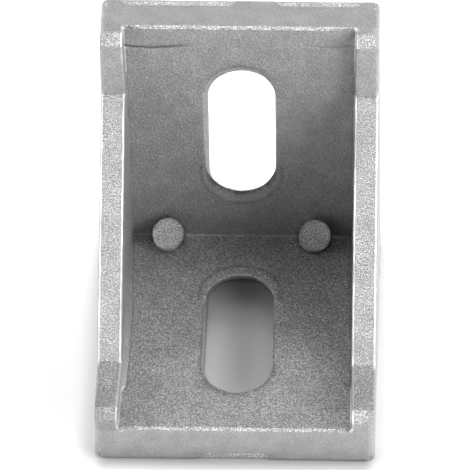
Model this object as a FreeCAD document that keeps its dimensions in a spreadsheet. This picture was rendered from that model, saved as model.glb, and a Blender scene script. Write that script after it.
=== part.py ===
import FreeCAD, Part

import math
import os
import re

import Sketcher

# Die-cast corner bracket for square framing, in millimetres.
# The base leg lies on Z = 0 and points towards -Y, the upright leg rises along Z at the back,
# and two side webs close the inside corner. X runs across the width.
# The body is drawn with its outer corner edge on the X axis and then moved back by half a leg,
# so that the origin is in the middle of the footprint.
# The casting leaves its mould along the bisector of the two legs. Every draft, slot wall and
# ejector pad follows that direction.

V = FreeCAD.Vector
draw_tilt = 45
draw_way = V(0, -1, 1).normalize()
touch = 0.03
slack_angle = 25
mostly_along = math.cos(math.radians(slack_angle))

doc = FreeCAD.newDocument("corner_bracket")
sizes = doc.addObject("Spreadsheet::Sheet", "Sizes")

driving_dimensions = [
    ("leg_length", 40, "outer length of each leg"),
    ("bracket_width", 35, "width across the outer corner edge"),
    ("leg_plate", 5.4, "thickness of each leg"),
    ("side_wall", 2.9, "thickness of a side web at its long rim"),
    ("outer_draft", 0.8, "lean of the outer sides, in degrees"),
    ("inner_draft", 1.2, "lean of the inner sides, in degrees"),
    ("tip_lip", 1.1, "height of a web above the leg at the very tip"),
    ("rim_height", 2.35, "height of a web above the leg behind its tip chamfer"),
    ("rim_run", 9, "distance from a leg's tip to the start of the diagonal rim"),
    ("slot_width", 8.4, "width of a bolt slot"),
    ("slot_length", 20.4, "length of a bolt slot on the outer face"),
    ("slot_start", 7.9, "outer corner to the near end of a slot on the outer face"),
    ("slot_flare", 0.35, "extra half width of a slot at the inner face"),
    ("slot_edge", 0.2, "width of the broken edge at both ends of a slot"),
    ("mouth_diameter", 10.2, "diameter of the dished mouth at a slot's corner end"),
    ("mouth_reach", 2, "how far the mouth reaches past the slot's corner end"),
    ("mouth_depth", 0.6, "depth of the mouth where it meets the slot's wall"),
    ("pad_diameter", 4, "diameter of an ejector pad"),
    ("pad_height", 3.6, "height of an ejector pad above the inner corner line"),
    ("pad_spacing", 18.6, "distance between the middles of the two ejector pads"),
    ("scar_width", 1.15, "width of a trimmed gate scar on a leg's tip"),
    ("scar_depth", 0.25, "depth of a trimmed gate scar"),
    ("long_scar", 14.9, "length of the longer scar on the upright leg"),
    ("long_scar_place", -7.75, "middle of the longer scar, across the width"),
    ("short_scar", 11.6, "length of the shorter scar on the upright leg"),
    ("short_scar_place", 9.7, "middle of the shorter scar, across the width"),
    ("base_scar", 9.3, "length of the scar on the base leg"),
    ("tip_corner", 0.8, "radius of the outer corners of the leg tips"),
    ("heel_edge", 0.6, "radius of the outer corner edge"),
    ("soft_edge", 0.35, "radius of the other outside edges"),
    ("root_radius", 0.2, "radius in the inside corners"),
    ("pad_edge", 0.12, "width of the broken edge round the face of an ejector pad"),
]
for row, (alias, value, meaning) in enumerate(driving_dimensions, start=1):
    sizes.set(f"A{row}", meaning)
    sizes.set(f"B{row}", str(value))
    sizes.setAlias(f"B{row}", alias)
doc.recompute()

aliases = "|".join(alias for alias, value, meaning in driving_dimensions)

# Places that several features share. A web's half widths change along the draw direction.
rim_top = "leg_plate + rim_height"
rim_turn = "leg_length - rim_run"
rim_reach = f"({rim_top} + {rim_turn}) / sqrt(2)"
chamfer_foot = "leg_length - rim_height + tip_lip"
outer_half = "bracket_width / 2 - {0} * tan(outer_draft)"
rim_half = f"{outer_half.format(f'({rim_reach})')} - side_wall"
inner_half = f"{rim_half} + ({{0}} - {rim_reach}) * tan(inner_draft)"
inner_half_at_corner = inner_half.format("0")
inner_half_at_tip = inner_half.format("leg_length")
pad_face = "leg_plate * sqrt(2) + pad_height"


def formula(text):
    # Turns names from the sheet into an expression that the document can follow.
    return re.sub(rf"\b({aliases})\b", r"Sizes.\1", text)


def size(text):
    # The present value of a formula, in millimetres or degrees.
    return float(sizes.evalExpression(formula(text)))


def near(value, text):
    return abs(value - size(text)) < touch


body = doc.addObject("PartDesign::Body", "CornerBracket")
body.Label = "corner_bracket"
body.setExpression("Placement.Base.y", formula("leg_length / 2"))


def new_sketch(name, role, lift="0"):
    # Starts a sketch on an origin plane, lifted off it along its normal.
    plane = next(item for item in body.Origin.OriginFeatures if item.Role == role)
    sketch = body.newObject("Sketcher::SketchObject", name)
    sketch.AttachmentSupport = [(plane, "")]
    sketch.MapMode = "FlatFace"
    sketch.setExpression("AttachmentOffset.Base.z", formula(lift))
    return sketch


def tilted_sketch(name, role, distance="0"):
    # Starts a sketch turned about the outer corner edge by half the angle between the legs,
    # and then moved along its new normal.
    sketch = new_sketch(name, role)
    sketch.AttachmentOffset = FreeCAD.Placement(V(0, 0, 0), FreeCAD.Rotation(V(1, 0, 0), draw_tilt))
    sketch.setExpression("AttachmentOffset.Base.y", formula(f"-({distance}) * sin({draw_tilt})"))
    sketch.setExpression("AttachmentOffset.Base.z", formula(f"({distance}) * cos({draw_tilt})"))
    return sketch


def bind(sketch, kind, place, text):
    # Adds a dimension to a sketch. A zero distance puts the point on the axis instead.
    if size(text) == 0:
        axis = {"DistanceX": -2, "DistanceY": -1}[kind]
        sketch.addConstraint(Sketcher.Constraint("PointOnObject", *place[-2:], axis))
        return
    number = sketch.addConstraint(Sketcher.Constraint(kind, *place, size(text)))
    sketch.setExpression(f"Constraints[{number}]", formula(text))


def draw_polygon(sketch, corners):
    # Draws a closed outline whose corners are pairs of formulas.
    first = sketch.GeometryCount
    points = [V(size(x), size(y), 0) for x, y in corners]
    count = len(points)
    for index in range(count):
        sketch.addGeometry(Part.LineSegment(points[index], points[(index + 1) % count]), False)
    for index in range(count):
        following = first + (index + 1) % count
        sketch.addConstraint(Sketcher.Constraint("Coincident", first + index, 2, following, 1))
    for index, (x, y) in enumerate(corners, start=first):
        bind(sketch, "DistanceX", (-1, 1, index, 1), x)
        bind(sketch, "DistanceY", (-1, 1, index, 1), y)


def draw_slot(sketch, side, near_centre, near_radius, far_centre, far_radius):
    # Draws a round-ended slot along the sketch's Y axis, from its near end to its far end.
    # The side is 1 where the leg runs along that axis and -1 where it runs against it.
    ends = [(near_centre, near_radius, -side), (far_centre, far_radius, side)]
    for centre, radius, way in ends:
        circle = Part.Circle(V(0, side * size(centre), 0), V(0, 0, 1), size(radius))
        first = 0 if way > 0 else math.pi
        sketch.addGeometry(Part.ArcOfCircle(circle, first, first + math.pi), False)
    for across in (-side, side):
        start = V(across * size(near_radius), side * size(near_centre), 0)
        finish = V(across * size(far_radius), side * size(far_centre), 0)
        sketch.addGeometry(Part.LineSegment(start, finish), False)
    for line, near_end, far_end in ((2, 1, 2), (3, 2, 1)):
        sketch.addConstraint(Sketcher.Constraint("Tangent", line, 1, 0, near_end))
        sketch.addConstraint(Sketcher.Constraint("Tangent", line, 2, 1, far_end))
    for arc, (centre, radius, way) in enumerate(ends):
        sketch.addConstraint(Sketcher.Constraint("PointOnObject", arc, 3, -2))
        bind(sketch, "DistanceY", (-1, 1, arc, 3), f"{side} * ({centre})")
        bind(sketch, "Radius", (arc,), radius)


def draw_circle(sketch, x, y, diameter):
    circle = Part.Circle(V(size(x), size(y), 0), V(0, 0, 1), size(diameter) / 2)
    number = sketch.addGeometry(circle, False)
    bind(sketch, "DistanceX", (-1, 1, number, 3), x)
    bind(sketch, "DistanceY", (-1, 1, number, 3), y)
    bind(sketch, "Diameter", (number,), diameter)


def settle(feature, removes=False):
    # Recomputes the body and makes sure that the new feature did its work.
    before = feature.BaseFeature.Shape.Volume if feature.BaseFeature else 0
    doc.recompute()
    if "Invalid" in feature.State or "Error" in feature.State or feature.Shape.isNull():
        raise RuntimeError(f"{feature.Name} failed")
    if not feature.Shape.isValid():
        raise RuntimeError(f"{feature.Name} left a faulty solid")
    if removes and feature.Shape.Volume >= before:
        raise RuntimeError(f"{feature.Name} removed nothing")
    print(feature.Name, round(feature.Shape.Volume), "mm3")


def pad(name, sketch, length, midplane=False, backwards=False):
    feature = body.newObject("PartDesign::Pad", name)
    feature.Profile = sketch
    feature.Midplane = midplane
    feature.Reversed = backwards
    feature.setExpression("Length", formula(length))
    settle(feature)


def pocket(name, sketch, length, midplane=False):
    feature = body.newObject("PartDesign::Pocket", name)
    feature.Profile = sketch
    feature.Midplane = midplane
    feature.setExpression("Length", formula(length))
    settle(feature, removes=True)


def dress_edges(kind, name, amount, test):
    # Rounds or chamfers the edges that pass a test on their middle and on the way from end to end.
    base = body.Tip
    names = []
    for number, edge in enumerate(base.Shape.Edges, start=1):
        if edge.Degenerated:
            continue
        middle = edge.valueAt((edge.FirstParameter + edge.LastParameter) / 2)
        chord = edge.valueAt(edge.LastParameter) - edge.valueAt(edge.FirstParameter)
        if test(middle, chord.normalize() if chord.Length > 0 else chord):
            names.append(f"Edge{number}")
    feature = body.newObject(f"PartDesign::{kind}", name)
    feature.Base = (base, names)
    feature.setExpression({"Fillet": "Radius", "Chamfer": "Size"}[kind], formula(amount))
    settle(feature)


def depth_and_reach(point):
    # Distance in from the nearer outer face, and distance along that leg from the outer corner.
    return sorted((-point.y, point.z))


def add_legs():
    # An L-shaped plate. It ends inside the thickness of the side webs.
    outline = new_sketch("LegsOutline", "YZ_Plane")
    draw_polygon(outline, [
        ("0", "0"),
        ("-leg_length", "0"),
        ("-leg_length", "leg_plate"),
        ("-leg_plate", "leg_plate"),
        ("-leg_plate", "leg_length"),
        ("0", "leg_length"),
    ])
    pad("Legs", outline, "bracket_width - side_wall", midplane=True)


def add_webs():
    # Two strips with leaning sides, drawn in the plane of the outer corner edge and the draw
    # direction, then trimmed to the side outline: chamfered leg tips and a diagonal rim.
    section = tilted_sketch("WebsSection", "XZ_Plane")
    for side in (-1, 1):
        draw_polygon(section, [
            (f"{side} * ({outer_half.format('0')})", "0"),
            (f"{side} * ({outer_half.format('leg_length')})", "leg_length"),
            (f"{side} * ({inner_half_at_tip})", "leg_length"),
            (f"{side} * ({inner_half_at_corner})", "0"),
        ])
    pad("SideWebs", section, "2 * leg_length", midplane=True)

    outline = new_sketch("SideOutline", "YZ_Plane")
    draw_polygon(outline, [
        ("0", "0"),
        ("-leg_length", "0"),
        ("-leg_length", "leg_plate + tip_lip"),
        (f"-({chamfer_foot})", rim_top),
        (f"-({rim_turn})", rim_top),
        (f"-({rim_top})", rim_turn),
        (f"-({rim_top})", chamfer_foot),
        ("-(leg_plate + tip_lip)", "leg_length"),
        ("0", "leg_length"),
    ])
    draw_polygon(outline, [
        ("leg_length", "-leg_length"),
        ("-2 * leg_length", "-leg_length"),
        ("-2 * leg_length", "2 * leg_length"),
        ("leg_length", "2 * leg_length"),
    ])
    pocket("SideTrim", outline, "2 * bracket_width", midplane=True)


def subtract_loft(name, sections):
    # Cuts the body along straight lines from each section to the next.
    loft = body.newObject("PartDesign::SubtractiveLoft", name)
    loft.Profile = sections[0]
    loft.Sections = sections[1:]
    loft.Ruled = True
    settle(loft, removes=True)


def cut_slot(leg, role, side):
    # The walls follow the draw direction and open a little towards the inner face, so that the
    # casting lets go of its core. Both ends have a broken edge.
    half = "slot_width / 2"
    stations = [
        ("Outside", "0", "slot_edge"),
        ("Bore", "slot_edge", "0"),
        ("Throat", "leg_plate - slot_edge", "slot_flare"),
        ("Inside", "leg_plate", "slot_flare + slot_edge"),
    ]
    sections = []
    for name, lift, extra in stations:
        near_centre = f"slot_start + {half} + {lift}"
        far_centre = f"slot_start + slot_length - {half} + {lift}"
        radius = f"{half} + {extra}"
        section = new_sketch(f"{leg}Slot{name}", role, lift)
        draw_slot(section, side, near_centre, radius, far_centre, radius)
        sections.append(section)
    subtract_loft(f"{leg}Slot", sections)


def dish_mouth(leg, role, side):
    # A shallow cone in the inner face, round the corner end of the slot. Its floor meets the
    # slot's leaning wall.
    middle = "slot_start + leg_plate - slot_flare - mouth_reach + mouth_diameter / 2"
    stations = [
        ("Floor", "leg_plate - mouth_depth", "mouth_diameter - 2 * (mouth_reach - mouth_depth)"),
        ("Rim", "leg_plate", "mouth_diameter"),
    ]
    sections = []
    for name, lift, diameter in stations:
        section = new_sketch(f"{leg}Mouth{name}", role, lift)
        draw_circle(section, "0", f"{side} * ({middle})", diameter)
        sections.append(section)
    subtract_loft(f"{leg}Mouth", sections)


def round_inside():
    # The line between the legs and the feet of both webs.
    def test(point, way):
        on_upright = near(-point.y, "leg_plate")
        on_base = near(point.z, "leg_plate")
        narrowest = size(inner_half_at_corner) - touch
        at_a_web = narrowest < abs(point.x) < size(inner_half_at_tip) + touch
        on_web_foot = (on_upright or on_base) and at_a_web and abs(way.x) < mostly_along
        return on_upright and on_base or on_web_foot
    dress_edges("Fillet", "Roots", "root_radius", test)


def round_tip_corners():
    # The corners between the sides and the end faces of both legs.
    def test(point, way):
        at_a_side = abs(point.x) > size("bracket_width / 2 - side_wall / 2")
        on_upright_tip = near(point.z, "leg_length") and abs(way.y) > mostly_along
        on_base_tip = near(-point.y, "leg_length") and abs(way.z) > mostly_along
        return at_a_side and (on_upright_tip or on_base_tip)
    dress_edges("Fillet", "TipCorners", "tip_corner", test)


def round_heel():
    # The outer corner edge.
    dress_edges("Fillet", "Heel", "heel_edge", lambda point, way: near(point.y, "0") and near(point.z, "0"))


def round_outer_faces():
    # The outline of the two outer faces, which runs round the heel.
    def test(point, way):
        depth, reach = depth_and_reach(point)
        at_a_side = abs(point.x) > size("bracket_width / 2 - side_wall / 2")
        on_side_edge = at_a_side and (near(depth, "0") or reach < size("heel_edge"))
        on_tip_edge = near(depth, "0") and near(reach, "leg_length")
        return on_side_edge or on_tip_edge
    dress_edges("Fillet", "OuterOutline", "soft_edge", test)


def round_rims():
    # The rims of both webs and the inner edges of the leg tips.
    def test(point, way):
        depth, reach = depth_and_reach(point)
        on_rim = depth > size("leg_plate + tip_lip") - touch
        on_tip_edge = near(reach, "leg_length") and depth > size("leg_plate") - touch
        return on_rim or on_tip_edge
    dress_edges("Fillet", "Rims", "soft_edge", test)


def add_ejector_pads():
    # Two flat-faced studs that stand in the inside corner and face the draw direction.
    outline = tilted_sketch("PadsOutline", "XY_Plane", pad_face)
    for side in (-1, 1):
        draw_circle(outline, f"{side} * pad_spacing / 2", "0", "pad_diameter")
    pad("EjectorPads", outline, "pad_height + leg_plate / 2", backwards=True)

    def test(point, way):
        ahead = V(0, point.y, point.z).dot(draw_way)
        outermost = size("(pad_spacing + pad_diameter) / 2") + touch
        return near(ahead, pad_face) and abs(point.x) < outermost
    dress_edges("Chamfer", "PadEdges", "pad_edge", test)


def cut_scar(name, role, side, place, length):
    # A shallow flat with sloping ends, trimmed into the outer edge of a leg's tip.
    outline = new_sketch(f"{name}Outline", role, "leg_length")
    draw_polygon(outline, [
        (f"{place} - {length} / 2", f"{-side} * scar_width"),
        (f"{place} - {length} / 2", "0"),
        (f"{place} - {length} / 2 + scar_width", f"{side} * scar_width"),
        (f"{place} + {length} / 2 - scar_width", f"{side} * scar_width"),
        (f"{place} + {length} / 2", "0"),
        (f"{place} + {length} / 2", f"{-side} * scar_width"),
    ])
    pocket(name, outline, "scar_depth")


add_legs()
add_webs()
for leg, role, side in (("Upright", "XZ_Plane", 1), ("Base", "XY_Plane", -1)):
    cut_slot(leg, role, side)
    dish_mouth(leg, role, side)
round_inside()
round_tip_corners()
round_heel()
round_outer_faces()
round_rims()
add_ejector_pads()
cut_scar("LongScar", "XY_Plane", -1, "long_scar_place", "long_scar")
cut_scar("ShortScar", "XY_Plane", -1, "short_scar_place", "short_scar")
cut_scar("BaseScar", "XZ_Plane", 1, "0", "base_scar")

# The finished casting has to be one sound solid before it is written.
doc.recompute()
for item in doc.Objects:
    if "Invalid" in item.State or "Error" in item.State:
        raise RuntimeError(f"{item.Name} is faulty")
if body.Shape.isNull() or not body.Shape.isValid() or len(body.Shape.Solids) != 1:
    raise RuntimeError("the bracket is not one sound solid")

os.makedirs("parts", exist_ok=True)
body.Shape.exportStep(f"parts/{body.Label}.step")
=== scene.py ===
import math

import bpy
from mathutils import Matrix, Vector


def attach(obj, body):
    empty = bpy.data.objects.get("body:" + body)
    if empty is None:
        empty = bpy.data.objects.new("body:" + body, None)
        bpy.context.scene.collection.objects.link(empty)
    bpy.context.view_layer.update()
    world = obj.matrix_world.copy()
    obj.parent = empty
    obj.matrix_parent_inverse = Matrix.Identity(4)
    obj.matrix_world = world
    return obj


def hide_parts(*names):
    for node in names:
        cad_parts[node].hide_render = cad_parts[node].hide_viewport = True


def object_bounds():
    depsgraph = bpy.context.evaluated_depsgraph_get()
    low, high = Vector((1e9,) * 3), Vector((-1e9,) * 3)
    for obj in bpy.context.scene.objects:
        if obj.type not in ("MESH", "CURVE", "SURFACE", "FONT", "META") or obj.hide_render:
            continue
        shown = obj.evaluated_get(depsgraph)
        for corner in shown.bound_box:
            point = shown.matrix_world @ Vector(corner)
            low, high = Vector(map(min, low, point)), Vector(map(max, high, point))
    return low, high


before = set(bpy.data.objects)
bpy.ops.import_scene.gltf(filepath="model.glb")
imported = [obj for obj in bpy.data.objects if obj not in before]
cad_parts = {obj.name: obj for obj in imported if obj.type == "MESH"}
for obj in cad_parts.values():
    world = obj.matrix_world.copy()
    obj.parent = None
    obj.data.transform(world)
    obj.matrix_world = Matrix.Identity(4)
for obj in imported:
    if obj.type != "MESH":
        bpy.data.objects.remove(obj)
bpy.ops.object.select_all(action="DESELECT")
cadLow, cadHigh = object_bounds()

mm = 0.001
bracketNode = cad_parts["corner_bracket"]

# measures of the casting that the finish follows
legLength = cadHigh.z - cadLow.z
legPlate = 5.4 * mm
drawWay = Vector((0, -1, 1)).normalized()
heelEdge = Vector((0, cadHigh.y, cadLow.z))
innerFace = cadHigh.y - legPlate


# camera, found by fitting the photo's outline, slots and corner line
cameraSet = {
    "azimuth": 2.434,
    "elevation": 42.871,
    "roll": -0.982,
    "distance": 600 * mm,
    "aim": (0, 4 * mm, 16 * mm),
    "slideRight": -0.525 * mm,
    "slideUp": -0.465 * mm,
    "focalPixels": 4849.3,
    "framePixels": 470,
    "sensor": 36,
    "clip": (60 * mm, 6000 * mm),
}


def makeCamera(look):
    azimuth = math.radians(look["azimuth"])
    elevation = math.radians(look["elevation"])
    roll = math.radians(look["roll"])
    level = Vector((math.sin(azimuth), -math.cos(azimuth), 0))
    back = level * math.cos(elevation) + Vector((0, 0, math.sin(elevation)))
    right = Vector((math.cos(azimuth), math.sin(azimuth), 0))
    up = back.cross(right)
    place = Vector(look["aim"]) + right * look["slideRight"] + up * look["slideUp"] + back * look["distance"]
    rolledRight = right * math.cos(roll) + up * math.sin(roll)
    rolledUp = up * math.cos(roll) - right * math.sin(roll)
    bpy.ops.object.camera_add(location=place)
    camera = bpy.context.object
    camera.name = "photoCamera"
    camera.rotation_euler = Matrix((rolledRight, rolledUp, back)).transposed().to_euler()
    camera.data.sensor_width = look["sensor"]
    camera.data.lens = look["focalPixels"] / look["framePixels"] * look["sensor"]
    camera.data.clip_start, camera.data.clip_end = look["clip"]
    bpy.context.scene.camera = camera


makeCamera(cameraSet)
print("camera set")


# short ways to join the nodes of a finish
def plug(tree, socket, given):
    if isinstance(given, bpy.types.NodeSocket):
        tree.links.new(given, socket)
    else:
        socket.default_value = given


def compute(tree, operation, *values):
    node = tree.nodes.new("ShaderNodeMath")
    node.operation = operation
    for socket, given in zip(node.inputs, values):
        plug(tree, socket, given)
    return node.outputs["Value"]


def spread(tree, value, low, high, first, last):
    # maps low..high to first..last
    node = tree.nodes.new("ShaderNodeMapRange")
    given = {"Value": value, "From Min": low, "From Max": high, "To Min": first, "To Max": last}
    for name, part in given.items():
        plug(tree, node.inputs[name], part)
    return node.outputs["Result"]


def ease(tree, value, low, high, first, last):
    # the same, with soft ends
    result = spread(tree, value, low, high, first, last)
    result.node.interpolation_type = "SMOOTHSTEP"
    return result


def readMark(tree, name):
    node = tree.nodes.new("ShaderNodeAttribute")
    node.attribute_name = name
    return node.outputs["Fac"]


# floor, a wide pale sheet with painted light: it glows a little round the part, as a light table does, but
# not within a few millimetres of the part's box
floorSet = {
    "size": 3.0,
    "tone": 0.85,
    "roughness": 0.9,
    "glow": 0.26,
    "shade": 3 * mm,
    "shadow": 0.4,
    "shadowReach": 3.2 * mm,
    "shadowSide": (-2 * mm, 0.3 * mm),
}


def makeFloor(look):
    bpy.ops.mesh.primitive_plane_add(size=look["size"], location=(0, 0, 0))
    floor = bpy.context.object
    floor.name = "paleFloor"
    material = bpy.data.materials.new("paleFloorPaint")
    material.use_nodes = True
    tree = material.node_tree
    shader = tree.nodes["Principled BSDF"]
    shader.inputs["Roughness"].default_value = look["roughness"]
    shader.inputs["Emission Strength"].default_value = 1
    coords = tree.nodes.new("ShaderNodeTexCoord")
    split = tree.nodes.new("ShaderNodeSeparateXYZ")
    tree.links.new(coords.outputs["Object"], split.inputs["Vector"])
    across = compute(tree, "SUBTRACT", compute(tree, "ABSOLUTE", split.outputs["X"]), cadHigh.x)
    along = compute(tree, "SUBTRACT", compute(tree, "ABSOLUTE", split.outputs["Y"]), cadHigh.y)
    glow = ease(tree, compute(tree, "MAXIMUM", across, along), 0, look["shade"], 0, look["glow"])
    tree.links.new(glow, shader.inputs["Emission Color"])
    # painted shadow: the floor's colour is darker right in front of the tip of the base leg
    front = compute(tree, "ABSOLUTE", compute(tree, "SUBTRACT", split.outputs["Y"], cadLow.y))
    shadow = ease(tree, front, 0, look["shadowReach"], look["shadow"], 0)
    shadow = compute(tree, "MULTIPLY", shadow, ease(tree, across, *look["shadowSide"], 1, 0))
    tree.links.new(spread(tree, shadow, 0, 1, look["tone"], 0), shader.inputs["Base Color"])
    floor.data.materials.append(material)


makeFloor(floorSet)
print("floor laid")


# lights: square sheets, low ones at both sides and in front of them, and others behind and above. Their
# powers come from a least-squares fit of the ten lights to the photo's tones
lightSize = 0.40
lightSet = {
    "rightLow": {"place": (0.65, 0, 0.25), "power": 2.09},
    "leftLow": {"place": (-0.65, 0, 0.25), "power": 3.06},
    "rightFront": {"place": (0.50, -0.40, 0.25), "power": 2.53},
    "leftFront": {"place": (-0.50, -0.40, 0.25), "power": 0.79},
    "rightMiddle": {"place": (0.55, -0.10, 0.42), "power": 1.85},
    "leftMiddle": {"place": (-0.55, -0.10, 0.42), "power": 0.81},
    "back": {"place": (0, 0.45, 0.50), "power": 1.87},
    "backRight": {"place": (0.25, 0.35, 0.55), "power": 0.55},
    "backLeft": {"place": (-0.25, 0.35, 0.55), "power": 0.18},
    "top": {"place": (0, 0, 0.70), "power": 0.60},
}
lightAim = Vector((0, 0, 0.015))


def makeLight(name, look):
    bpy.ops.object.light_add(type="AREA", location=look["place"])
    light = bpy.context.object
    light.name = name
    light.data.size = lightSize
    light.data.energy = look["power"]
    light.rotation_euler = (lightAim - Vector(look["place"])).to_track_quat("-Z", "Y").to_euler()


for name, look in lightSet.items():
    makeLight(name, look)

world = bpy.data.worlds.new("darkRoom")
world.use_nodes = True
world.node_tree.nodes["Background"].inputs["Strength"].default_value = 0
bpy.context.scene.world = world
bpy.context.scene.view_settings.view_transform = "Standard"
bpy.ops.object.select_all(action="DESELECT")
print("lights placed")


# skin of the casting: the plain casting's form, finely divided so that it can be roughened
skinSet = {
    "mergeGap": 0.0005 * mm,
    "flatAngle": 0.3,
    "cell": 0.5 * mm,
    "smoothAngle": 35,
    "fineBands": [
        {"axis": 2, "low": 36.1 * mm, "high": 37.5 * mm, "step": 0.14 * mm},
        {"axis": 2, "low": 0.1 * mm, "high": 1.3 * mm, "step": 0.2 * mm},
        {"axis": 1, "low": 18.7 * mm, "high": 19.9 * mm, "step": 0.2 * mm},
    ],
}


def copyCasting(look):
    skin = bpy.data.objects.new("castBracket", bracketNode.data.copy())
    bpy.context.collection.objects.link(skin)
    bpy.context.view_layer.objects.active = skin
    skin.select_set(True)
    bpy.ops.object.mode_set(mode="EDIT")
    bpy.ops.mesh.select_all(action="SELECT")
    bpy.ops.mesh.customdata_custom_splitnormals_clear()
    bpy.ops.mesh.remove_doubles(threshold=look["mergeGap"])
    bpy.ops.mesh.dissolve_limited(angle_limit=math.radians(look["flatAngle"]))
    bpy.ops.object.mode_set(mode="OBJECT")
    return skin


def cutAcross(axis, level):
    way = Vector((0, 0, 0))
    way[axis] = 1
    bpy.ops.mesh.select_all(action="SELECT")
    bpy.ops.mesh.bisect(plane_co=way * level, plane_no=way)


def divideSkin(look):
    # level cuts one cell apart in each direction, and closer ones where fine marks will lie
    bpy.ops.object.mode_set(mode="EDIT")
    for axis in range(3):
        span = cadHigh[axis] - cadLow[axis]
        count = round(span / look["cell"])
        for step in range(1, count):
            cutAcross(axis, cadLow[axis] + span * step / count)
    for band in look["fineBands"]:
        count = round((band["high"] - band["low"]) / band["step"])
        for step in range(count + 1):
            cutAcross(band["axis"], band["low"] + band["step"] * step)
    bpy.ops.object.mode_set(mode="OBJECT")


skin = copyCasting(skinSet)
divideSkin(skinSet)
bpy.ops.object.shade_smooth_by_angle(angle=math.radians(skinSet["smoothAngle"]))
print("skin divided into", len(skin.data.polygons), "faces")


def ramp(value, low, high):
    # 0 below low, 1 above high, smooth between
    share = min(max((value - low) / (high - low), 0), 1)
    return share * share * (3 - 2 * share)


def lineGap(point, corners):
    # distance from a point to a run of short straight pieces
    gaps = []
    for start, finish in zip(corners, corners[1:]):
        along = finish - start
        share = min(max((point - start).dot(along) / along.length_squared, 0), 1)
        gaps.append((point - start - along * share).length)
    return min(gaps)


# where the skin is moved or shaded, and by how much: each mark is a weight for every point of the skin
edgeSet = {"sharp": 0.045, "depth": 0.12 * mm, "size": 0.9 * mm}
waveSet = {"depth": 0.045 * mm, "size": 2.2 * mm}
rimSet = {"rimLevel": 27.4 * mm, "webEdge": 14 * mm, "webInside": 15.6 * mm}
mainWays = [Vector((1, 0, 0)), Vector((-1, 0, 0)), Vector((0, 1, 0)), Vector((0, -1, 0))]
mainWays += [Vector((0, 0, 1)), Vector((0, 0, -1)), drawWay]
# a face is square to a direction when its normal reaches this far along it
flatTo = 0.9
# widens a limit, so that it takes in the points that lie on it
slack = 1.01


def within(value, span):
    return span[0] < value < span[1]


def drawHeight(vertex):
    # how far out along the draw direction a point lies, from the heel of the bracket
    return (vertex.co - heelEdge).dot(drawWay)


def edgeWeight(vertex):
    best = max(vertex.normal.dot(way) for way in mainWays)
    return ramp(1 - best, 0, edgeSet["sharp"])


# dark lap line in the upright leg near its tip, where two streams of metal met, x and z
lapSet = {
    "left": [
        (-14.4, 36.9), (-13.4, 36.75), (-12.4, 36.67), (-11, 36.56),
        (-9.2, 36.7), (-7.6, 36.9), (-4.2, 37.2),
    ],
    "right": [(8.0, 37.3), (10.0, 37.0), (11.5, 37.0), (12.9, 37.12), (14.3, 37.1)],
    "lowest": 35.4 * mm,
    "faceGap": 0.27 * mm,
    "width": 0.3 * mm,
    "depth": 0.18 * mm,
    "fade": (-9 * mm, -4 * mm),
    "faint": 0.3,
}
lapLeft = [Vector((x * mm, 0, z * mm)) for x, z in lapSet["left"]]
lapRight = [Vector((x * mm, 0, z * mm)) for x, z in lapSet["right"]]


def lapWeight(vertex):
    if abs(vertex.co.y - innerFace) > lapSet["faceGap"] or vertex.co.z < lapSet["lowest"]:
        return 0
    point = Vector((vertex.co.x, 0, vertex.co.z))
    left = 1 - ramp(lineGap(point, lapLeft), 0, lapSet["width"])
    right = 1 - ramp(lineGap(point, lapRight), 0, lapSet["width"])
    return max(left * (1 - ramp(vertex.co.x, *lapSet["fade"])), right * lapSet["faint"])


# both webs are a little thicker than drawn, on their inner sides
webSet = {
    "swell": {"left": 0.125 * mm, "right": 0.1 * mm},
    "lowest": 9 * mm,
    "rise": (13.2 * mm, 14 * mm),
    "fall": (15.6 * mm, 16.6 * mm),
}


def webWeight(vertex, side):
    across = abs(vertex.co.x)
    if (vertex.co.x < 0) != (side == "left") or drawHeight(vertex) < webSet["lowest"]:
        return 0
    return ramp(across, *webSet["rise"]) * (1 - ramp(across, *webSet["fall"]))


# the left web's foot is thicker still, and ends in a rounded lump near the tip of the base leg
lumpSet = {
    "swell": 0.62 * mm,
    "rise": (-14 * mm, 1 * mm),
    "fall": (12.2 * mm, 13.6 * mm),
    "lowest": 0.97 * legPlate,
    "thin": (6 * mm, 7.4 * mm),
    "wallPlace": -14.3 * mm,
    "reach": 2.2 * mm,
    "rimPlace": -15.2 * mm,
    "shine": 0.5,
    "shineLean": (0.2, 0.6),
    "shineSpan": (2 * mm, 11 * mm),
}


def lumpWeight(vertex):
    x, y, z = vertex.co
    if x < lumpSet["rimPlace"] or z < lumpSet["lowest"]:
        return 0
    along = ramp(-y, *lumpSet["rise"]) * (1 - ramp(-y, *lumpSet["fall"]))
    across = min(max(1 - (x - lumpSet["wallPlace"]) / lumpSet["reach"], 0), 1)
    return along * across * (1 - ramp(z, *lumpSet["thin"]))


# painted highlight on the side of the lump that faces +X
def lumpShine(vertex):
    leaning = ramp(vertex.normal.x, *lumpSet["shineLean"])
    return lumpWeight(vertex) * leaning * ramp(-vertex.co.y, *lumpSet["shineSpan"]) * lumpSet["shine"]


# torn flats on the outer edges of both tips, a little under the end faces
scarSet = {
    "width": 1.7 * mm,
    "depth": 0.16 * mm,
    "size": 0.35 * mm,
    "sunk": (0.02 * mm, 0.4 * mm),
    "spans": [(-14.8 * mm, -0.6 * mm), (4.1 * mm, 15.6 * mm)],
    "lineWidth": 0.3 * mm,
    "lineShade": 0.4,
}


def scarWeight(vertex):
    place = vertex.co
    onTop = cadHigh.y - place.y < scarSet["width"] and vertex.normal.z > flatTo
    onFront = place.z < scarSet["width"] and vertex.normal.y < -flatTo
    sunkTop = within(cadHigh.z - place.z, scarSet["sunk"])
    sunkFront = within(place.y - cadLow.y, scarSet["sunk"])
    return 1 if sunkTop and onTop or sunkFront and onFront else 0


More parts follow.
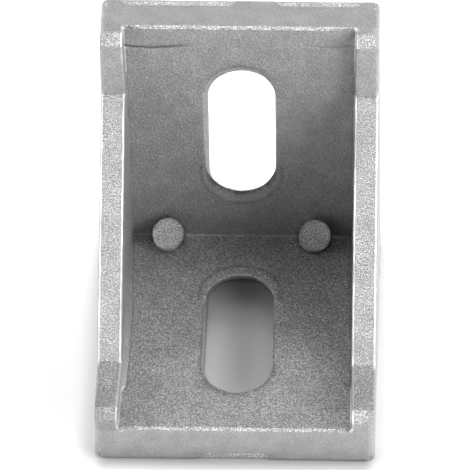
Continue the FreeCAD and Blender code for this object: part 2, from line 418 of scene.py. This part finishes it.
def scarLine(vertex):
    # painted shade: thin dark line along the inner side of the upper scars
    place = vertex.co
    besideScar = any(within(place.x, span) for span in scarSet["spans"])
    if cadHigh.z - place.z > scarSet["sunk"][1] or not besideScar:
        return 0
    gap = abs(cadHigh.y - place.y - scarSet["width"])
    return (1 - ramp(gap, 0, scarSet["lineWidth"])) * scarSet["lineShade"]


# slots: each leans with the draw direction. Their walls are slimmer than drawn near the inner face,
# and the shallow dish at each slot's corner end is flatter
slotSet = {
    "heelEnd": 12.1 * mm,
    "tipEnd": 24.1 * mm,
    "radius": 4.2 * mm,
    "wallReach": 0.75 * mm,
    "tipShift": {"upright": 0.78 * mm, "base": 0.55 * mm},
    "heelShift": {"upright": 0.46 * mm, "base": 0.05 * mm},
    "leftShift": {"upright": 0.08 * mm, "base": 0.27 * mm},
    "rightShift": {"upright": 0.3 * mm, "base": 0.32 * mm},
}
slotMiddle = (slotSet["heelEnd"] + slotSet["tipEnd"]) / 2


def legPlace(vertex):
    # which leg a point is in, its depth from that leg's outer face, and its distance from the heel
    depthUpright = cadHigh.y - vertex.co.y
    depthBase = vertex.co.z - cadLow.z
    if depthUpright < depthBase:
        return "upright", depthUpright, depthBase
    return "base", depthBase, depthUpright


def slotGap(vertex):
    # distance from the slot's leaning wall, which is zero at the outer face
    depth, along = legPlace(vertex)[1:]
    along -= depth
    past = max(slotSet["heelEnd"] - along, along - slotSet["tipEnd"], 0)
    return math.hypot(vertex.co.x, past) - slotSet["radius"]


def wallWeight(vertex, wanted, share):
    leg, depth, along = legPlace(vertex)
    if leg != wanted or depth > legPlate * slack or slotGap(vertex) > slotSet["wallReach"]:
        return 0
    return depth / legPlate * share(vertex.co.x, along - depth)


def tipShare(across, along):
    return ramp(along, slotMiddle, slotSet["tipEnd"])


def heelShare(across, along):
    return 1 - ramp(along, slotSet["heelEnd"], slotMiddle)


def leftShare(across, along):
    return ramp(-across, 0, slotSet["radius"])


def rightShare(across, along):
    return ramp(across, 0, slotSet["radius"])


# dishes at the corner ends of the slots
dishSet = {
    "center": 16.05 * mm,
    "radius": 5.1 * mm,
    "depth": 0.6 * mm,
    "deepest": 0.72 * mm,
    "lift": 0.3 * mm,
    "slotGap": 0.1 * mm,
    "lineEnd": 17.05 * mm,
    "lineWidth": 0.25 * mm,
    "lineShade": 0.5,
}


def dishWeight(vertex, wanted):
    leg, depth, along = legPlace(vertex)
    across = math.hypot(vertex.co.x, along - dishSet["center"])
    if leg != wanted or across > dishSet["radius"] * slack or slotGap(vertex) < dishSet["slotGap"]:
        return 0
    sunk = legPlate - depth
    return min(sunk / dishSet["depth"], 1) if 0 <= sunk < dishSet["deepest"] else 0


def dishLine(vertex):
    # painted shade: thin dark line along the heel side of both dishes
    depth, along = legPlace(vertex)[1:]
    if abs(depth - legPlate) > dishSet["depth"] or along > dishSet["lineEnd"]:
        return 0
    across = math.hypot(vertex.co.x, along - dishSet["center"])
    return (1 - ramp(abs(across - dishSet["radius"]), 0, dishSet["lineWidth"])) * dishSet["lineShade"]


# inner edges of the slots, with bright specks of painted highlight and a thin line of painted shade, and
# walls, with painted shade in the upright leg and a painted highlight in the base leg
lipSet = {
    "gap": (0.2 * mm, 0.5 * mm),
    "lowest": 0.88 * legPlate,
    "shine": {"upright": 0.45, "base": 0.9},
    "lineGap": (0.5 * mm, 0.62 * mm),
    "lineLowest": 0.95 * legPlate,
    "lineSpan": (20 * mm, 28 * mm),
    "lineShade": 0.35,
    "lineGain": 0.3,
    "wallGap": 0.7 * mm,
    "wallSpan": (0.02 * legPlate, 0.95 * legPlate),
    "wallShade": 0.8,
    "wallSheen": 0.8,
}


# painted highlight: bright specks along the slot lips
def lipShine(vertex):
    leg, depth = legPlace(vertex)[:2]
    onLip = within(slotGap(vertex), lipSet["gap"]) and depth >= lipSet["lowest"]
    return lipSet["shine"][leg] if onLip else 0


# painted shade: thin dark line round the base slot
def lipLine(vertex):
    leg, depth, along = legPlace(vertex)
    if leg == "upright" or not within(slotGap(vertex), lipSet["lineGap"]) or depth < lipSet["lineLowest"]:
        return 0
    return lipSet["lineShade"] + lipSet["lineGain"] * ramp(along, *lipSet["lineSpan"])


# painted shade on the walls of the upright slot
def wallShade(vertex):
    leg, depth = legPlace(vertex)[:2]
    onWall = slotGap(vertex) < lipSet["wallGap"] and within(depth, lipSet["wallSpan"])
    return lipSet["wallShade"] if onWall and leg == "upright" else 0


# painted highlight on the walls of the base slot
def wallSheen(vertex):
    leg, depth = legPlace(vertex)[:2]
    onWall = slotGap(vertex) < lipSet["wallGap"] and depth < legPlate
    return lipSet["wallSheen"] if onWall and leg == "base" else 0


# round pads in the inside corner, where the ejector pins pushed the casting out. Each rim is swollen and
# stands out furthest on one side, which carries a painted highlight
padSet = {
    "centers": [(-9.39 * mm, 12.03 * mm, 7.92 * mm), (9.12 * mm, 12.0 * mm, 7.9 * mm)],
    "radius": 1.95 * mm,
    "heights": (6 * mm, 14 * mm),
    "faceHeights": (10.79 * mm, 11.69 * mm),
    "facing": 0.6,
    "flash": 0.32 * mm,
    "flashWays": [(-0.41, -2.16), (-1.42, -0.9)],
    "flashReach": 0.3 * mm,
    "flashTurn": (0.5, 0.95),
    "swell": 0.4,
    "shineWays": [(-1, -0.25), (0.9, 0.45)],
    "shineReach": 0.6 * mm,
    "shineTurn": (0.5, 0.9),
    "rimShine": 0.5,
    "faceShine": 0.3,
    "faceRadius": 1.75 * mm,
    "shineRadius": 2.05 * mm,
    "ringRadius": 2.15 * mm,
    "ringFade": (0.05 * mm, 0.22 * mm),
    "ringShade": 0.7,
}


def padPlaces(vertex):
    # sideways and along offsets from each pad's axis, seen against the draw direction
    for center in padSet["centers"]:
        offset = vertex.co - Vector(center)
        yield Vector((offset.x, (offset.y + offset.z) / math.sqrt(2)))


def padGap(vertex):
    # distance from the nearer pad's axis, far away for points on the outer faces
    if not within(drawHeight(vertex), padSet["heights"]):
        return legLength
    return min(place.length for place in padPlaces(vertex))


def padTurn(place, way, span):
    # 1 on the side of a pad that a way points to
    return ramp(place.normalized().dot(Vector(way).normalized()), *span)


def flashWeight(vertex):
    if not within(drawHeight(vertex), padSet["faceHeights"]):
        return 0
    weight = 0
    for place, way in zip(padPlaces(vertex), padSet["flashWays"]):
        if abs(place.length - padSet["radius"]) < padSet["flashReach"]:
            weight = padSet["swell"] + (1 - padSet["swell"]) * padTurn(place, way, padSet["flashTurn"])
    return weight


# painted highlight on the pad faces and on one side of each rim
def padShine(vertex):
    if vertex.normal.dot(drawWay) < padSet["facing"] or padGap(vertex) > padSet["shineRadius"]:
        return 0
    weight = padSet["faceShine"] if padGap(vertex) < padSet["faceRadius"] else 0
    for place, way in zip(padPlaces(vertex), padSet["shineWays"]):
        if abs(place.length - padSet["radius"]) < padSet["shineReach"]:
            weight = max(weight, padTurn(place, way, padSet["shineTurn"]) * padSet["rimShine"])
    return weight


# painted shade: a dark ring round each pad
def padRing(vertex):
    gap = abs(padGap(vertex) - padSet["ringRadius"])
    return (1 - ramp(gap, *padSet["ringFade"])) * padSet["ringShade"]


# marks that the finish reads
finishSet = {
    "wearSheenFacing": (0.86, 0.97),
    "wearSheenHeight": (18 * mm, 24 * mm),
    "tipHeight": 31.4 * mm,
    "tipHalfWidth": 14.6 * mm,
    "tipFacing": (0.72, 0.8),
    "cornerFacing": 0.75,
    "cornerHeight": 8.02 * mm,
    "cornerPolishSheen": 0.5,
    "edgeLean": 0.15,
    "edgeFacing": (0.2, 0.985),
    "edgeReach": 0.5 * mm,
    "sideGap": 0.8 * mm,
    "sideLean": (0.75, 0.95),
    "rimCoarse": 0.7,
    "rimFacing": 0.95,
    "rimHeight": 20 * mm,
    "topCoarse": 0.35,
    "topLevel": 38 * mm,
    "insideDepth": 0.9 * legPlate,
    "insideFacing": (0.6, 0.9),
    "leastCoarse": 0.15,
    "footLevels": (6 * mm, 9 * mm),
    "footShade": 0.2,
    "chamferHeight": 31.5 * mm,
    "chamferPlace": -15 * mm,
    "chamferShade": 0.28,
    "floorDepth": 1.03 * legPlate,
    "floorSpan": (28 * mm, 33 * mm),
    "floorShade": 0.13,
}


def wearAndSheenMark(vertex):
    # rims, chamfers and tip edges that face the draw direction are rubbed by tumbling and carry a painted
    # highlight, as do the pad faces and the base slot walls
    facing = ramp(vertex.normal.dot(drawWay), *finishSet["wearSheenFacing"])
    onPad = 1 if padGap(vertex) < padSet["radius"] else 0
    outer = ramp(drawHeight(vertex), *finishSet["wearSheenHeight"])
    return max(facing * max(outer, onPad), wallSheen(vertex))


def tornAndSheenMark(vertex):
    # torn and battered spots shine brightest; the tip edges, slot lips, the lump's side and the pad rims get
    # a painted highlight in the same tone
    tipEdge = 0
    if drawHeight(vertex) > finishSet["tipHeight"] and abs(vertex.co.x) < finishSet["tipHalfWidth"]:
        tipEdge = ramp(vertex.normal.dot(drawWay), *finishSet["tipFacing"])
    return max(tipEdge, scarWeight(vertex), lipShine(vertex), lumpShine(vertex), padShine(vertex))


def polishAndSheenMark(vertex):
    # the long edges of both webs' rims and the inside corner are smooth, with a painted highlight along them
    facing = vertex.normal.dot(drawWay)
    height = drawHeight(vertex)
    if facing > finishSet["cornerFacing"] and height < finishSet["cornerHeight"]:
        return finishSet["cornerPolishSheen"]
    across = abs(vertex.co.x)
    leaning = abs(vertex.normal.x) > finishSet["edgeLean"] and within(facing, finishSet["edgeFacing"])
    onRim = abs(height - rimSet["rimLevel"]) < finishSet["edgeReach"]
    inner = across < rimSet["webInside"] and height > rimSet["rimLevel"] - finishSet["edgeReach"]
    return 1 if leaning and across > rimSet["webEdge"] and (onRim or inner) else 0


def sideMark(vertex):
    # the right web's wall stays smooth, with painted shade on it
    inside = 0 < vertex.co.x < rimSet["webInside"] and slotGap(vertex) > finishSet["sideGap"]
    return ramp(abs(vertex.normal.x), *finishSet["sideLean"]) if inside else 0


def coarseMark(vertex):
    # the sand is coarsest inside the base leg, finer inside the upright leg, finest on the ends
    leg, depth = legPlace(vertex)[:2]
    if depth < finishSet["insideDepth"]:
        return 0
    if vertex.normal.dot(drawWay) > finishSet["rimFacing"] and drawHeight(vertex) > finishSet["rimHeight"]:
        return finishSet["rimCoarse"]
    if vertex.normal.z > flatTo and vertex.co.z > finishSet["topLevel"]:
        return finishSet["topCoarse"]
    inBase = ramp(vertex.normal.z, *finishSet["insideFacing"]) if leg == "base" else 0
    return max(inBase, finishSet["leastCoarse"])


def footShade(vertex):
    # painted shade on the low stretch of the webs along the base leg, the left chamfer and the floor of the
    # base leg at its tip
    leg, depth, along = legPlace(vertex)
    upward = vertex.normal.z > flatTo
    shade = 0
    if upward and abs(vertex.co.x) > rimSet["webEdge"] and within(vertex.co.z, finishSet["footLevels"]):
        shade = finishSet["footShade"]
    onChamfer = vertex.co.y < finishSet["chamferPlace"] and drawHeight(vertex) > finishSet["chamferHeight"]
    if onChamfer and vertex.co.x < -rimSet["webEdge"]:
        shade = finishSet["chamferShade"]
    if upward and leg == "base" and depth < finishSet["floorDepth"]:
        shade = max(shade, finishSet["floorShade"] * ramp(along, *finishSet["floorSpan"]))
    return shade


# painted shade in the dish, scar and slot lines, the pad rings, the slot walls and the low stretches,
# together with the real dark lap line
def darkMark(vertex):
    lines = max(lapWeight(vertex), dishLine(vertex), scarLine(vertex), lipLine(vertex))
    return max(lines, padRing(vertex), wallShade(vertex), footShade(vertex))


def addMark(skin, name, weigh, *given):
    group = skin.vertex_groups.new(name=name)
    for vertex in skin.data.vertices:
        weight = weigh(vertex, *given)
        if weight > 0:
            group.add([vertex.index], weight, "REPLACE")


def keepMark(skin, name, weigh):
    # lets the finish read a mark
    attribute = skin.data.attributes.new(name, "FLOAT", "POINT")
    attribute.data.foreach_set("value", [weigh(vertex) for vertex in skin.data.vertices])


def push(skin, name, distance, direction="NORMAL"):
    # moves the marked skin evenly
    move = skin.modifiers.new(name, "DISPLACE")
    move.direction = direction
    move.strength = distance
    move.mid_level = 0
    move.vertex_group = name
    bpy.ops.object.modifier_apply(modifier=name)


def roughen(skin, name, depth, size, group=""):
    # pushes the skin in by a cloudy pattern
    clouds = bpy.data.textures.new(name, "CLOUDS")
    clouds.noise_scale = size
    dent = skin.modifiers.new(name, "DISPLACE")
    dent.texture = clouds
    dent.texture_coords = "LOCAL"
    dent.direction = "NORMAL"
    dent.strength = depth
    dent.mid_level = 1
    dent.vertex_group = group
    bpy.ops.object.modifier_apply(modifier=name)


for leg in ("upright", "base"):
    addMark(skin, leg + "Tip", wallWeight, leg, tipShare)
    addMark(skin, leg + "Heel", wallWeight, leg, heelShare)
    addMark(skin, leg + "Left", wallWeight, leg, leftShare)
    addMark(skin, leg + "Right", wallWeight, leg, rightShare)
    addMark(skin, leg + "Dish", dishWeight, leg)
addMark(skin, "leftWeb", webWeight, "left")
addMark(skin, "rightWeb", webWeight, "right")
addMark(skin, "edges", edgeWeight)
addMark(skin, "lap", lapWeight)
addMark(skin, "lump", lumpWeight)
addMark(skin, "scars", scarWeight)
addMark(skin, "flash", flashWeight)
keepMark(skin, "wearAndSheen", wearAndSheenMark)
keepMark(skin, "torn", tornAndSheenMark)
keepMark(skin, "coarse", coarseMark)
keepMark(skin, "polishAndSheen", polishAndSheenMark)
keepMark(skin, "side", sideMark)
keepMark(skin, "dark", darkMark)
# the heel lies down the Z axis from the upright leg, and up the Y axis from the base leg
for leg, heelAxis, sign, inwardAxis in (("upright", "Z", -1, "Y"), ("base", "Y", 1, "Z")):
    push(skin, leg + "Tip", slotSet["tipShift"][leg] * sign, heelAxis)
    push(skin, leg + "Heel", -slotSet["heelShift"][leg] * sign, heelAxis)
    push(skin, leg + "Left", slotSet["leftShift"][leg], "X")
    push(skin, leg + "Right", -slotSet["rightShift"][leg], "X")
    push(skin, leg + "Dish", dishSet["lift"] * sign, inwardAxis)
push(skin, "leftWeb", webSet["swell"]["left"], "X")
push(skin, "rightWeb", -webSet["swell"]["right"], "X")
roughen(skin, "waves", waveSet["depth"], waveSet["size"])
roughen(skin, "worn", edgeSet["depth"], edgeSet["size"], "edges")
roughen(skin, "torn", scarSet["depth"], scarSet["size"], "scars")
push(skin, "lap", -lapSet["depth"])
push(skin, "lump", lumpSet["swell"], "X")
push(skin, "flash", padSet["flash"])
skin.vertex_groups.clear()
for vertex in skin.data.vertices:
    # keeps every point inside the casting's box
    vertex.co = [min(max(place, low), high) for place, low, high in zip(vertex.co, cadLow, cadHigh)]
print("skin roughened")

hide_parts("corner_bracket")
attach(skin, "root")


# finish: sandy die-cast skin, rubbed on the rims, with painted highlights and painted shade from the marks
castSet = {
    "grainSize": 0.16 * mm,
    "grainDetail": 2,
    "grainRoughness": 0.6,
    "grainSpan": (0.42, 0.70),
    "grainHeight": (0.19 * mm, 0.44 * mm),
    "mottleSize": 2.2 * mm,
    "mottleSpan": (0.35, 0.65),
    "mottle": (0.93, 1.07),
    "fineSkin": (0.40, 0.61),
    "coarseSkin": (0.30, 0.92),
    # worn: tone of the rubbed rims, raised by a painted highlight
    "worn": (0.33, 0.92),
    # torn: tone of the torn spots and of the painted highlights
    "torn": (0.35, 1.4),
    "metallic": (0.9, 0.8),
    "roughness": (0.4, 0.5),
    "polishedSheen": 0.78,
    "polishRoughness": 0.42,
    "polishSheenSpan": (0.4, 0.6),
    "polishSheenPatches": (0.65, 1),
    "smoothShare": 0.75,
    "sideShade": 0.35,
    "darkShade": 0.7,
}


def makeCastMetal(look):
    material = bpy.data.materials.new("tumbledCasting")
    material.use_nodes = True
    tree = material.node_tree
    shader = tree.nodes["Principled BSDF"]
    coords = tree.nodes.new("ShaderNodeTexCoord")
    noise = tree.nodes.new("ShaderNodeTexNoise")
    noise.inputs["Scale"].default_value = 1 / look["grainSize"]
    noise.inputs["Detail"].default_value = look["grainDetail"]
    noise.inputs["Roughness"].default_value = look["grainRoughness"]
    tree.links.new(coords.outputs["Object"], noise.inputs["Vector"])
    grain = noise.outputs["Fac"]
    patches = tree.nodes.new("ShaderNodeTexNoise")
    patches.inputs["Scale"].default_value = 1 / look["mottleSize"]
    tree.links.new(coords.outputs["Object"], patches.inputs["Vector"])
    mottle = patches.outputs["Fac"]
    marks = {name: readMark(tree, name) for name in ("coarse", "wearAndSheen", "torn", "polishAndSheen", "side", "dark")}
    patchy = spread(tree, mottle, *look["polishSheenSpan"], *look["polishSheenPatches"])
    marks["polishAndSheen"] = compute(tree, "MULTIPLY", marks["polishAndSheen"], patchy)
    skins = ("fineSkin", "coarseSkin", "worn", "torn")
    tones = {name: spread(tree, grain, *look["grainSpan"], *look[name]) for name in skins}
    tone = spread(tree, marks["coarse"], 0, 1, tones["fineSkin"], tones["coarseSkin"])
    # painted highlight on the rubbed rims, the pad faces and the base slot walls
    tone = spread(tree, marks["wearAndSheen"], 0, 1, tone, tones["worn"])
    # brightest tone on torn spots and on painted highlights
    tone = spread(tree, marks["torn"], 0, 1, tone, tones["torn"])
    # painted highlight along the rims' long edges and the inside corner
    tone = spread(tree, marks["polishAndSheen"], 0, 1, tone, look["polishedSheen"])
    tone = compute(tree, "MULTIPLY", tone, spread(tree, mottle, *look["mottleSpan"], *look["mottle"]))
    # painted shade on the right web's wall
    tone = compute(tree, "MULTIPLY", tone, spread(tree, marks["side"], 0, 1, 1, 1 - look["sideShade"]))
    # painted shade, and the dark lap line
    tone = compute(tree, "MULTIPLY", tone, spread(tree, marks["dark"], 0, 1, 1, 1 - look["darkShade"]))
    color = tree.nodes.new("ShaderNodeCombineColor")
    for socket in color.inputs:
        tree.links.new(compute(tree, "MINIMUM", tone, 1), socket)
    tree.links.new(color.outputs["Color"], shader.inputs["Base Color"])
    tree.links.new(spread(tree, marks["wearAndSheen"], 0, 1, *look["metallic"]), shader.inputs["Metallic"])
    rough = spread(tree, marks["wearAndSheen"], 0, 1, *look["roughness"])
    rough = spread(tree, marks["polishAndSheen"], 0, 1, rough, look["polishRoughness"])
    tree.links.new(rough, shader.inputs["Roughness"])
    smooth = compute(tree, "MAXIMUM", marks["polishAndSheen"], marks["side"])
    height = spread(tree, marks["coarse"], 0, 1, *look["grainHeight"])
    height = compute(tree, "MULTIPLY", height, spread(tree, smooth, 0, 1, 1, 1 - look["smoothShare"]))
    bump = tree.nodes.new("ShaderNodeBump")
    bump.inputs["Distance"].default_value = 1
    tree.links.new(compute(tree, "MULTIPLY", grain, height), bump.inputs["Height"])
    tree.links.new(bump.outputs["Normal"], shader.inputs["Normal"])
    return material


skin.data.materials.clear()
skin.data.materials.append(makeCastMetal(castSet))
print("casting finished")
